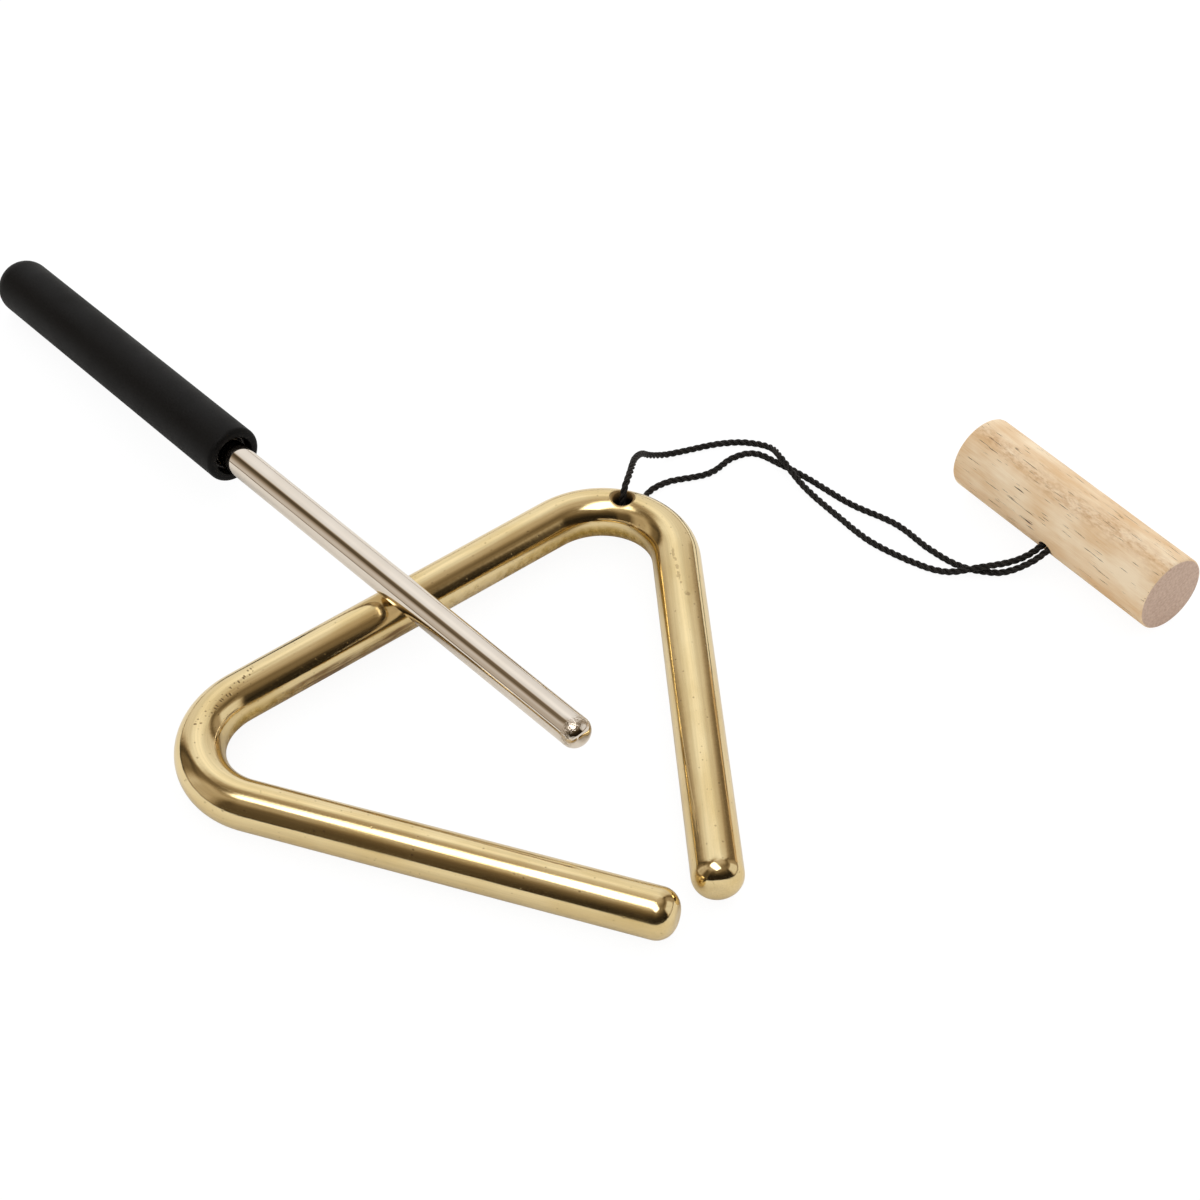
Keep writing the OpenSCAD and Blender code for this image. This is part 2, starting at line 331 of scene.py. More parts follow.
# Cord
cord = {
    "diameter": 1.6,
    "lay": 5.1,  # millimetres for one full turn of the three plies
    "plies": 3,
    "plyRadius": 0.375,
    "plyOffset": 0.43,
    "lumps": 900,  # cells per metre that make a ply thinner and thicker
    "thickness": {"From Min": 0.3, "From Max": 0.7, "To Min": 0.93, "To Max": 1.07},
    "ringStep": 0.24,
    "sides": 12,
    "stepsPerPoint": 16,
    # the route from the toggle over and through the bored bend and back, in millimetres
    "route": [
        (96.1, -102.9, 9.6), (86.4, -102.9, 5.7), (80.4, -101.1, 3.4), (73.2, -97.2, 2.7),
        (67, -91.8, 1.1), (63.2, -83, 0.8), (60.8, -73, 0.8), (60.6, -62, 0.8),
        (60.8, -50, 1.2), (61.9, -40, 2.9), (63.2, -34.4, 1.5), (60.8, -29.2, 0.8),
        (55.6, -25.2, 0.8), (48.6, -22.2, 0.8), (42.6, -20.4, 1.4), (37.2, -21.4, 5),
        (33.4, -23.2, 8.9), (28.4, -27.2, 12.9), (23.2, -32.1, 14.6), (20.1, -34.2, 13.4),
        (19, -34.8, 10.5), (17.8, -35.5, 5.2), (18.5, -35.1, 2.2), (20.9, -33.7, 0.8),
        (24.2, -31.8, 0.8), (31.2, -27.9, 0.8), (37.4, -27.8, 0.8), (46.6, -31.6, 0.8),
        (54.4, -31, 0.8), (59.6, -33.2, 0.8), (61.8, -40, 0.8), (63.6, -48, 0.8),
        (65.6, -61, 0.8), (69.2, -73, 0.8), (69.6, -84, 0.8), (71.4, -93, 0.8),
        (76.2, -99.6, 0.9), (81, -103.3, 3.1), (86.4, -104.9, 5.7), (96.1, -104.9, 9.6),
    ],
    "filaments": 5,  # drawn round each ply, far fewer than the real ones so that they show
    "filamentLead": 2.2,  # they wind round it once in this length
    "ridge": 0.12,
    "fluffTonesAndGrooveShade": ((0.36, "#0B0908"), (0.70, "#241F1B")),
    "finish": {
        "noises": {"fluff": (1.6, 3)},
        "rough": 0.62,
        "relief": {"strands": (0.7, 0.12)},
        "shader": {"Specular IOR Level": 0.3, "Sheen Weight": 0.12, "Sheen Tint": "#6B625A"},
    },
}


# The same smooth curve through the route's points as the part's source sweeps
def smoothRoute(points, steps, floorHeight):
    made = []
    for i in range(len(points) - 1):
        a, b, c, d = (Vector(points[min(max(i + k, 0), len(points) - 1)]) for k in (-1, 0, 1, 2))
        for k in range(steps):
            t = k / steps
            p = (2 * b + (c - a) * t + (2 * a - 5 * b + 4 * c - d) * t * t
                 + (3 * b - a - 3 * c + d) * t * t * t) / 2
            made.append(Vector((p.x, p.y, max(p.z, floorHeight))) * mm)
    return made + [Vector(points[-1]) * mm]


# Three plies laid round the route, each a tube on its own helix
def twistTree():
    tree, keys, given, result = newShapeTree("threePlyTwist", {
        "Lay length": "Float", "Ply radius": "Float", "Ply offset": "Float", "Rings": "Int", "Sides": "Int"})
    line = addNode(tree, "GeometryNodeResampleCurve", {"Curve": given["Geometry"], "Count": given["Rings"]},
        mode="COUNT")
    line = addNode(tree, "GeometryNodeSetCurveNormal", {"Curve": line}, mode="MINIMUM_TWIST")
    gone = addNode(tree, "GeometryNodeSplineParameter").outputs["Length"]
    line = addNode(tree, "GeometryNodeStoreNamedAttribute", {"Geometry": line, "Name": "gone", "Value": gone},
        data_type="FLOAT", domain="POINT")
    laps = addNode(tree, "ShaderNodeMath", {0: gone, 1: given["Lay length"]}, operation="DIVIDE")
    angle = addNode(tree, "ShaderNodeMath", {0: laps, 1: 2 * math.pi}, operation="MULTIPLY")
    up = addNode(tree, "GeometryNodeInputNormal")
    ahead = addNode(tree, "GeometryNodeInputTangent")
    side = addNode(tree, "ShaderNodeVectorMath", {0: ahead, 1: up}, operation="CROSS_PRODUCT")
    lumps = addNode(tree, "ShaderNodeTexNoise", {"Scale": cord["lumps"], "Detail": 1})
    width = addNode(tree, "ShaderNodeMapRange", {"Value": lumps, **cord["thickness"]})
    hoop = addNode(tree, "GeometryNodeCurvePrimitiveCircle", {"Resolution": given["Sides"],
        "Radius": given["Ply radius"]})
    hoop = addNode(tree, "GeometryNodeStoreNamedAttribute", {
        "Geometry": hoop, "Name": "hoopSpot", "Value": addNode(tree, "GeometryNodeInputPosition")},
        data_type="FLOAT_VECTOR", domain="POINT")
    plies = addNode(tree, "GeometryNodeJoinGeometry")
    for number in range(cord["plies"]):
        here = addNode(tree, "ShaderNodeMath", {0: angle, 1: 2 * math.pi * number / cord["plies"]},
            operation="ADD")
        offsets = []
        for aim, wave in ((up, "COSINE"), (side, "SINE")):
            reach = addNode(tree, "ShaderNodeMath", {0: here}, operation=wave)
            reach = addNode(tree, "ShaderNodeMath", {0: reach, 1: given["Ply offset"]}, operation="MULTIPLY")
            offsets.append(addNode(tree, "ShaderNodeVectorMath", {0: aim, "Scale": reach}, operation="SCALE"))
        offset = addNode(tree, "ShaderNodeVectorMath", {0: offsets[0], 1: offsets[1]}, operation="ADD")
        ply = addNode(tree, "GeometryNodeSetPosition", {"Geometry": line, "Offset": offset})
        tube = addNode(tree, "GeometryNodeCurveToMesh", {"Curve": ply, "Profile Curve": hoop,
            "Scale": width, "Fill Caps": True})
        feed(tree, plies, {0: tube})
    along = addNode(tree, "GeometryNodeInputNamedAttribute", {"Name": "gone"}, data_type="FLOAT")
    across = addNode(tree, "GeometryNodeInputNamedAttribute", {"Name": "hoopSpot"}, data_type="FLOAT_VECTOR")
    acrossX, acrossY, _ = addNode(tree, "ShaderNodeSeparateXYZ", {0: across}).outputs
    spot = addNode(tree, "ShaderNodeCombineXYZ", {"X": along, "Y": acrossX, "Z": acrossY})
    inMm = addNode(tree, "ShaderNodeVectorMath", {0: spot, "Scale": 1 / mm}, operation="SCALE")
    stored = addNode(tree, "GeometryNodeStoreNamedAttribute", {
        "Geometry": plies, "Name": "straight", "Value": inMm}, data_type="FLOAT_VECTOR", domain="POINT")
    endShapeTree(tree, stored, given, result)
    return tree, keys


# Black polyester three-ply cord: dull twisted filaments that catch a little brown-grey light
def makeCordFinish():
    material, tree, shader, look = newMaterial("blackTwistedPolyester", "cord", cord["finish"])
    turned = addNode(tree, "ShaderNodeMath", {0: look["y"], 1: look["z"]}, operation="ARCTAN2")
    lead = addNode(tree, "ShaderNodeMath", {0: look["x"], 1: 2 * math.pi / cord["filamentLead"]},
        operation="MULTIPLY")
    phase = addNode(tree, "ShaderNodeMath", {0: turned, 1: cord["filaments"], 2: lead},
        operation="MULTIPLY_ADD")
    ridge = addNode(tree, "ShaderNodeMath", {0: phase}, operation="SINE")
    look["strands"] = addNode(tree, "ShaderNodeMath", {0: ridge, 1: cord["ridge"], 2: look["fluff"]},
        operation="MULTIPLY_ADD")
    # the tone follows the filaments' ridges, darker in the grooves between them, which is painted shade, over
    # a random fluff tone
    tone = addNode(tree, "ShaderNodeValToRGB", {"Fac": look["strands"]}, cord["fluffTonesAndGrooveShade"])
    finishOff(tree, shader, look, cord["finish"], tone)
    return material


cordFinish = makeCordFinish()
cordPath = smoothRoute(cord["route"], cord["stepsPerPoint"], cord["diameter"] / 2)
cordLength = sum((b - a).length for a, b in zip(cordPath, cordPath[1:]))
twist, twistKeys = twistTree()
cordPiece = grow("twistedCord", cordPath, twist, twistKeys, {
    "Lay length": cord["lay"] * mm, "Ply radius": cord["plyRadius"] * mm,
    "Ply offset": cord["plyOffset"] * mm, "Rings": round(cordLength / mm / cord["ringStep"]),
    "Sides": cord["sides"], "Finish": cordFinish})
cordPiece.data.shade_smooth()
dress(cordPiece, cordFinish, "holder", "cord")
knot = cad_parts["cord_knot"]
knot.data.materials.clear()
knot.data.materials.append(cordFinish)
print("cord laid, %.1f mm long" % (cordLength / mm))


# Brass triangle
rod = {
    "side": 150.0,  # between the corner points
    "leg": 128.3,  # from a corner point to the leg's tip
    "bend": 17.8,
    "bendSteps": 64,
    "endRounding": 4.3,
    "rings": 400,
    "ringsInEnd": 16,
    "sides": 80,
    "arcSteps": 160,  # of the centre line in a bend, for the pulled-straight places
    "lineStep": 0.25,
    "hole": 4.8,
    "mouth": 6.2,
    "drillSides": 48,
    "overrun": 2,  # how far the drill reaches past the rod
    # places along the rod, from the free end of the plain bend's leg; marks have their middle, the distance
    # at which they are gone, and the distance up to which they are full
    "rodMiddle": 176.1,
    "bends": (61.4, 42.0, 14.0),  # either way from the middle
    "tarnishAndShadeStreakAlong": (160.0, 25.0, 12.0),
    "chatterAlong": (128.0, 11.0, 10.0),
    "chatterLeft": (-1.9, 0.95, 0.7),
    "chatterBow": -0.025,
    "top": 2.0,  # dents and knocks lie on top of the rod, above this height
    # pits 0.2 to 0.5 mm wide, in one cell of four of a 2 mm pattern
    "pitCells": 0.5,
    "pitShrink": 0.08,
    "pitEdge": {"From Min": 0.14, "From Max": 0.06, "To Max": 0.55},
    "pitPick": 0.76,
    # dents 0.7 mm apart along the rod and twice that across it
    "dentCells": (1.4, 0.7, 0.0),
    "dentScatter": 0.8,
    "dentEdge": {"From Min": 0.36, "From Max": 0.2},
    "dentPick": 0.4,
    # knocks on top of the bored bend's leg: along, to the left, half length, half width
    "knocks": [(259.6, -1.0, 1.7, 0.32), (261.8, -0.6, 0.5, 0.28), (264.2, -0.5, 0.9, 0.36),
        (266.8, -0.4, 1.2, 0.45), (269.3, -0.1, 0.5, 0.3), (272.8, 1.1, 0.8, 0.6)],
    "knockRagged": 2.4,
    "knockEdge": {"From Min": 2.3, "From Max": 1.9, "To Max": 0.45},
    "crudInBend": 0.16,
    "crudEdge": {"From Min": 0.46, "From Max": 0.72, "To Max": 0.85},
    "boreBrowningEdge": {"From Min": 3.3 * mm, "From Max": 2.6 * mm, "To Max": 0.9},  # from the hole's axis
    "boreShadeReach": 2.5,
    "tarnishAndShadeStreakTint": 0.8,
    "markTint": 0.75,
    "bright": "#EFD9A7",
    "dulled": "#DFC48A",
    "finish": {
        "noises": {
            "lines": ((0.04, 2.5, 2.5), 2),  # coarser than real drawing lines, so that they show
            "wave": ((0.06, 0.2, 0.2), 1),
            "orange": (1.1, 2),
            "cloud": ((0.05, 0.16, 0.16), 5),
            "crud": (0.5, 6, 0.65),
            "smear": ((0.12, 1.1, 1.1), 4),
            "fine": (1.6, 3),
        },
        "shares": {  # x is along the rod, y to its left and z above it
            "dull": ("cloud", 0.42, 0.75),
            "lineTone": ("lines", 0.3, 0.7, 0.9, 1.0),
            "inside": ("y", -2.6, -4.6),
            "low": ("z", 1.2, -0.8),
            "tarnishAndShadeStreak": ("smear", 0.34, 0.58, 0.2, 1.0),
            "tarnishAndShadeStreakUp": ("z", 1.1, 0.5),
            "tarnishAndShadeStreakIn": ("y", -3.7, -4.5),
            "deep": ("z", 4.8, 2.6),
        },
        # what lies over the bare brass, the lowest first; the film and the stain are partly painted shade low
        # on the inner side, the brown streak partly a painted dark reflection, and the bore's black painted
        # shade
        "layers": {"filmAndShade": "#DDBE72", "stainAndShade": "#A58539", "brownTarnishAndShade": "#6B4728", "marks": "#5E411C",
            "boreBrowning": "#8F6A35", "boreShade": "#1E120A"},
        "rough": 0.06,
        "rougher": {"dull": 0.08, "lines": 0.09, "tarnish": 0.3, "boreBrowning": 0.4},
        "relief": {"wave": (1.0, 0.04), "orange": (1.0, 0.007), "lines": (1.0, 0.006), "marks": (1.0, -0.03)},
    },
}


# A round bar along a line, bent to one radius and rounded off at both ends
def barTree():
    tree, keys, given, result = newShapeTree("roundEndedBar", {
        "Bend radius": "Float", "Bar radius": "Float", "End rounding": "Float", "Rings": "Int",
        "Rings in an end": "Int", "Sides": "Int"})
    inEnd, rounding = given["Rings in an end"], given["End rounding"]
    bent = addNode(tree, "GeometryNodeFilletCurve", {
        "Curve": given["Geometry"], "Count": rod["bendSteps"], "Radius": given["Bend radius"]},
        mode="POLY")
    whole = addNode(tree, "GeometryNodeCurveLength", {"Curve": bent})
    spine = addNode(tree, "GeometryNodeResampleCurve", {
        "Curve": addNode(tree, "GeometryNodeCurvePrimitiveLine"), "Count": given["Rings"]}, mode="COUNT")
    index = addNode(tree, "GeometryNodeInputIndex")
    last = addNode(tree, "ShaderNodeMath", {0: given["Rings"], 1: 1.0}, operation="SUBTRACT")
    farStart = addNode(tree, "ShaderNodeMath", {0: last, 1: inEnd}, operation="SUBTRACT")
    bodyRings = addNode(tree, "ShaderNodeMath", {0: farStart, 1: inEnd}, operation="SUBTRACT")
    passed = []
    for start, rings in ((0.0, inEnd), (inEnd, bodyRings), (farStart, inEnd)):
        gone = addNode(tree, "ShaderNodeMath", {0: index, 1: start}, operation="SUBTRACT")
        gone = addNode(tree, "ShaderNodeMath", {0: gone, 1: rings}, operation="DIVIDE", use_clamp=True)
        passed.append(gone)
    nearEnd, body, farEnd = passed
    waves = []
    for share in (nearEnd, farEnd):
        turned = addNode(tree, "ShaderNodeMath", {0: share, 1: math.pi / 2}, operation="MULTIPLY")
        for wave in ("COSINE", "SINE"):
            waves.append(addNode(tree, "ShaderNodeMath", {0: turned}, operation=wave))
    nearCos, nearSin, farCos, farSin = waves
    # how far along: rounding, straight body, rounding
    first = addNode(tree, "ShaderNodeMath", {0: 1.0, 1: nearCos}, operation="SUBTRACT")
    ends = addNode(tree, "ShaderNodeMath", {0: first, 1: farSin}, operation="ADD")
    between = addNode(tree, "ShaderNodeMath", {0: rounding, 1: -2.0, 2: whole}, operation="MULTIPLY_ADD")
    bodyLength = addNode(tree, "ShaderNodeMath", {0: between, 1: body}, operation="MULTIPLY")
    along = addNode(tree, "ShaderNodeMath", {0: ends, 1: rounding, 2: bodyLength}, operation="MULTIPLY_ADD")
    # how thick: the rounding's share of the radius rises at the near end and falls at the far one
    share = addNode(tree, "ShaderNodeMath", {0: nearSin, 1: farCos}, operation="MULTIPLY")
    core = addNode(tree, "ShaderNodeMath", {0: given["Bar radius"], 1: rounding}, operation="SUBTRACT")
    thick = addNode(tree, "ShaderNodeMath", {0: share, 1: rounding, 2: core}, operation="MULTIPLY_ADD")
    where = addNode(tree, "GeometryNodeSampleCurve", {"Curves": bent, "Length": along}, mode="LENGTH")
    where = where.outputs["Position"]
    laid = addNode(tree, "GeometryNodeSetPosition", {"Geometry": spine, "Position": where})
    laid = addNode(tree, "GeometryNodeSetCurveNormal", {"Curve": laid}, mode="Z_UP")
    hoop = addNode(tree, "GeometryNodeCurvePrimitiveCircle", {"Resolution": given["Sides"], "Radius": 1.0})
    bar = addNode(tree, "GeometryNodeCurveToMesh", {"Curve": laid, "Profile Curve": hoop, "Scale": thick,
        "Fill Caps": True})
    endShapeTree(tree, bar, given, result)
    return tree, keys


# Drawn brass rod, bent and machine polished: a warm mirror with drawing lines, bruises and old stains
def makeBrass():
    material, tree, shader, look = newMaterial("polishedDrawnBrass", "brass", rod["finish"])
    along, left, above = look["x"], look["y"], look["z"]
    # the rod's surface rolled out flat: along the rod and round it
    turned = addNode(tree, "ShaderNodeMath", {0: left, 1: above}, operation="ARCTAN2")
    girth = addNode(tree, "ShaderNodeMath", {0: turned, 1: layout["rodRadius"]}, operation="MULTIPLY")
    sheet = addNode(tree, "ShaderNodeCombineXYZ", {"X": along, "Y": girth})
    cells = addNode(tree, "ShaderNodeTexVoronoi", {"Vector": sheet, "Scale": rod["pitCells"]},
        voronoi_dimensions="2D")
    pick = addNode(tree, "ShaderNodeSeparateColor", {"Color": cells.outputs["Color"]})
    shrunk = addNode(tree, "ShaderNodeMath", {0: pick.outputs["Blue"], 1: rod["pitShrink"], 2: cells},
        operation="MULTIPLY_ADD")
    inPit = addNode(tree, "ShaderNodeMapRange", {"Value": shrunk, **rod["pitEdge"]})
    chosen = addNode(tree, "ShaderNodeMath", {0: pick.outputs["Red"], 1: rod["pitPick"]},
        operation="GREATER_THAN")
    pits = addNode(tree, "ShaderNodeMath", {0: inPit, 1: chosen}, operation="MULTIPLY")
    # both bends are as far from the middle of the rod
    fromMiddle = addNode(tree, "ShaderNodeMath", {0: along, 1: rod["rodMiddle"]}, operation="SUBTRACT")
    fromMiddle = addNode(tree, "ShaderNodeMath", {0: fromMiddle}, operation="ABSOLUTE")
    nearBend = near(tree, fromMiddle, *rod["bends"])
    # polish residue and tarnish stay on the low inner side, most of all in the bends, with painted shade
    # there where the rod sits on the floor
    crudCut = addNode(tree, "ShaderNodeMath", {0: nearBend, 1: rod["crudInBend"], 2: look["crud"]},
        operation="MULTIPLY_ADD")
    crudHere = addNode(tree, "ShaderNodeMapRange", {"Value": crudCut, **rod["crudEdge"]})
    # chatter of the bending tool: short dents across the bar, in a bow over the plain bend
    dentsAt = addNode(tree, "ShaderNodeMapping", {"Vector": look["spot"], "Scale": rod["dentCells"]})
    dents = addNode(tree, "ShaderNodeTexVoronoi", {"Vector": dentsAt, "Scale": 1.0,
        "Randomness": rod["dentScatter"]}, voronoi_dimensions="2D")
    inDent = addNode(tree, "ShaderNodeMapRange", {"Value": dents, **rod["dentEdge"]})
    dentPick = addNode(tree, "ShaderNodeSeparateColor", {"Color": dents.outputs["Color"]})
    kept = addNode(tree, "ShaderNodeMath", {0: dentPick.outputs["Green"], 1: rod["dentPick"]},
        operation="GREATER_THAN")
    offPlace = addNode(tree, "ShaderNodeMath", {0: along, 1: rod["chatterAlong"][0]}, operation="SUBTRACT")
    bow = addNode(tree, "ShaderNodeMath", {0: offPlace, 1: offPlace}, operation="MULTIPLY")
    bowed = addNode(tree, "ShaderNodeMath", {0: bow, 1: rod["chatterBow"], 2: left},
        operation="MULTIPLY_ADD")
    onTop = addNode(tree, "ShaderNodeMath", {0: above, 1: rod["top"]}, operation="GREATER_THAN")
    # what several shares make together; the brown streak, tarnish with a painted dark reflection, is drawn
    # out low along the long side's inner side
    together = {
        "filmAndShade": (look["inside"], look["low"], nearBend),
        "stainAndShade": (look["inside"], look["low"], crudHere),
        "tarnishAndShadeStreak": (look["tarnishAndShadeStreak"], near(tree, along, *rod["tarnishAndShadeStreakAlong"]), look["tarnishAndShadeStreakUp"],
        look["tarnishAndShadeStreakIn"]),
        "chatter": (inDent, kept, near(tree, bowed, *rod["chatterLeft"]),
        near(tree, along, *rod["chatterAlong"]), onTop),
    }
    for name, (product, *others) in together.items():
        for other in others:
            product = addNode(tree, "ShaderNodeMath", {0: product, 1: other}, operation="MULTIPLY")
        look[name] = product
    knocked = look["chatter"]
    for knockAlong, knockLeft, halfLong, halfWide in rod["knocks"]:
        off = addNode(tree, "ShaderNodeVectorMath", {0: look["spot"], 1: (knockAlong, knockLeft, 0.0)},
            operation="SUBTRACT")
        off = addNode(tree, "ShaderNodeVectorMath", {0: off, 1: (1 / halfLong, 1 / halfWide, 0.0)},
            operation="MULTIPLY")
        off = addNode(tree, "ShaderNodeVectorMath", {0: off}, operation="LENGTH")
        ragged = addNode(tree, "ShaderNodeMath", {0: look["fine"], 1: rod["knockRagged"], 2: off},
            operation="MULTIPLY_ADD")
        knock = addNode(tree, "ShaderNodeMapRange", {"Value": ragged, **rod["knockEdge"]})
        knock = addNode(tree, "ShaderNodeMath", {0: knock, 1: onTop}, operation="MULTIPLY")
        knocked = addNode(tree, "ShaderNodeMath", {0: knocked, 1: knock}, operation="MAXIMUM")
    # the bore and the countersink are browned and made less metallic, and painted shade blackens the bore
    # deep down
    where = addNode(tree, "ShaderNodeTexCoord").outputs["Object"]
    holeSpot = (onCord @ shift(holeX, holeY, 0)).translation
    toHole = addNode(tree, "ShaderNodeVectorMath", {0: where, 1: tuple(holeSpot)}, operation="SUBTRACT")
    flat = addNode(tree, "ShaderNodeVectorMath", {0: toHole, 1: (1.0, 1.0, 0.0)}, operation="MULTIPLY")
    reach = addNode(tree, "ShaderNodeVectorMath", {0: flat}, operation="LENGTH")
    look["boreBrowning"] = addNode(tree, "ShaderNodeMapRange", {"Value": reach, **rod["boreBrowningEdge"]})
    # painted shade in the bore, darker the deeper it goes
    inBore = addNode(tree, "ShaderNodeMath", {0: reach, 1: rod["boreShadeReach"] * mm}, operation="LESS_THAN")
    look["boreShade"] = addNode(tree, "ShaderNodeMath", {0: inBore, 1: look["deep"]}, operation="MULTIPLY")
    # the streak's brown: tarnish and painted dark reflection
    look["brownTarnishAndShade"] = addNode(tree, "ShaderNodeMath", {0: look["tarnishAndShadeStreak"], 1: rod["tarnishAndShadeStreakTint"]},
        operation="MULTIPLY")
    look["tarnish"] = addNode(tree, "ShaderNodeMath", {0: look["stainAndShade"], 1: look["tarnishAndShadeStreak"]},
        operation="MAXIMUM")
    marks = addNode(tree, "ShaderNodeMath", {0: pits, 1: knocked}, operation="MAXIMUM")
    look["marks"] = addNode(tree, "ShaderNodeMath", {0: marks, 1: rod["markTint"]}, operation="MULTIPLY")
    tone = addNode(tree, "ShaderNodeMix", {0: look["dull"], 6: rod["bright"], 7: rod["dulled"]},
        data_type="RGBA")
    lined = addNode(tree, "ShaderNodeVectorMath", {0: tone, "Scale": look["lineTone"]}, operation="SCALE")
    finishOff(tree, shader, look, rod["finish"], lined)
    clean = addNode(tree, "ShaderNodeMath", {0: 1.0, 1: look["boreBrowning"]}, operation="SUBTRACT")
    feed(tree, shader, {"Metallic": clean})
    return material


brass = makeBrass()
barShape, barKeys = barTree()
side, leg, bend = (rod[size] * mm for size in ("side", "leg", "bend"))
corners = [legAim * leg, Vector((0, 0, 0)), Vector((side, 0, 0)),
    Vector((side - legAim.x * leg, legAim.y * leg, 0))]
triangle = grow("bentBrassRod", corners, barShape, barKeys, {
    "Bend radius": bend, "Bar radius": layout["rodRadius"] * mm,
    "End rounding": rod["endRounding"] * mm, "Rings": rod["rings"],
    "Rings in an end": rod["ringsInEnd"], "Sides": rod["sides"], "Finish": brass})

# the drill with its countersink at both ends
holeRadius, mouthRadius = rod["hole"] / 2, rod["mouth"] / 2
flare = layout["rodRadius"] - (mouthRadius - holeRadius)
past = layout["rodRadius"] + rod["overrun"]
wide = mouthRadius + rod["overrun"]
cutAway(triangle, lathe("drill", [(0, -past), (wide, -past), (holeRadius, -flare), (holeRadius, flare),
    (wide, past), (0, past)], rod["drillSides"], shift(holeX, holeY, 0)))

# centre line of the bent rod: legs, bends and long side
bendStart = bend / math.tan(cornerTurn / 2)
centreLine = [legAim * leg, legAim * bendStart]
for k in range(1, rod["arcSteps"]):
    a = math.pi / 2 + (math.pi - cornerTurn) * (1 - k / rod["arcSteps"])
    centreLine.append(Vector((bendStart + bend * math.cos(a), -bend + bend * math.sin(a), 0)))
centreLine.append(Vector((bendStart, 0, 0)))
centreLine += [Vector((side - p.x, p.y, 0)) for p in reversed(centreLine)]
storeStraight(triangle, centreLine, rod["lineStep"] * mm)
triangle.data.transform(onCord)
smooth(triangle)
dress(triangle, brass, "triangle", "triangle_rod")
print("brass triangle bent and bored")


# Dowel toggle
dowel = {
    "radius": 9.05,
    "length": 61.0,
    "edge": 0.6,
    "edgeSteps": 6,
    "endRing": 6.05,
    "ringStep": 1.0,
    "sides": 128,
    "bore": 4.0,
    "knotBore": 6.6,
    "knotSeat": 1.4,
    "boreSides": 40,
    "overrun": 2,
    "pith": {"Location": (26, 0, -14), "Scale": (1, 0.03, 1)},  # the tree's middle, outside the dowel
    "layerGap": 6,
    "sway": 12.0,
    "flameSway": 9.0,
    "flameAt": (1.7, 3.4, 0.6),  # middle, gone at, full up to
    "layerTint": 0.05,
    "fibreTint": 0.35,
    "poreDrift": 0.25,
    "poreEdge": {"From Min": 0.785, "From Max": 0.83},
    "endEdge": {"From Min": 0.75, "From Max": 0.95},
    "grain": ((0.50, "#E0BB8D"), (0.86, "#F5DFBE")),
    "ends": ((0.28, "#B39583"), (0.74, "#CFB5A1")),
    "finish": {
        "noises": {
            "swayNoise": ((0.12, 0.03, 0.12), 2),
            "fibre": ((3.6, 0.14, 3.6), 4),
            "blush": ((0.2, 0.07, 0.2), 3),
            "fleck": ((1.5, 0.5, 1.5), 5, 0.7),
            "pore": ((3.4, 0.14, 3.4), 2),  # pores 0.2 mm wide and 3 to 8 mm long, gathered in drifts
            "drift": ((0.25, 0.06, 0.25), 1, 0.5, (3, 1, 7)),
            "mottle": (1.6, 4),
        },
        "shares": {"fleckCut": ("fleck", 0.42, 0.66, 0.1, 0.75)},
        "layers": {"flame": "#BC8F5F", "pores": "#4A3121", "isEnd": "endTone"},
        "rough": 0.6,
        "relief": {"fibre": (0.4, 0.05), "pores": (0.4, -0.06)},
    },
}


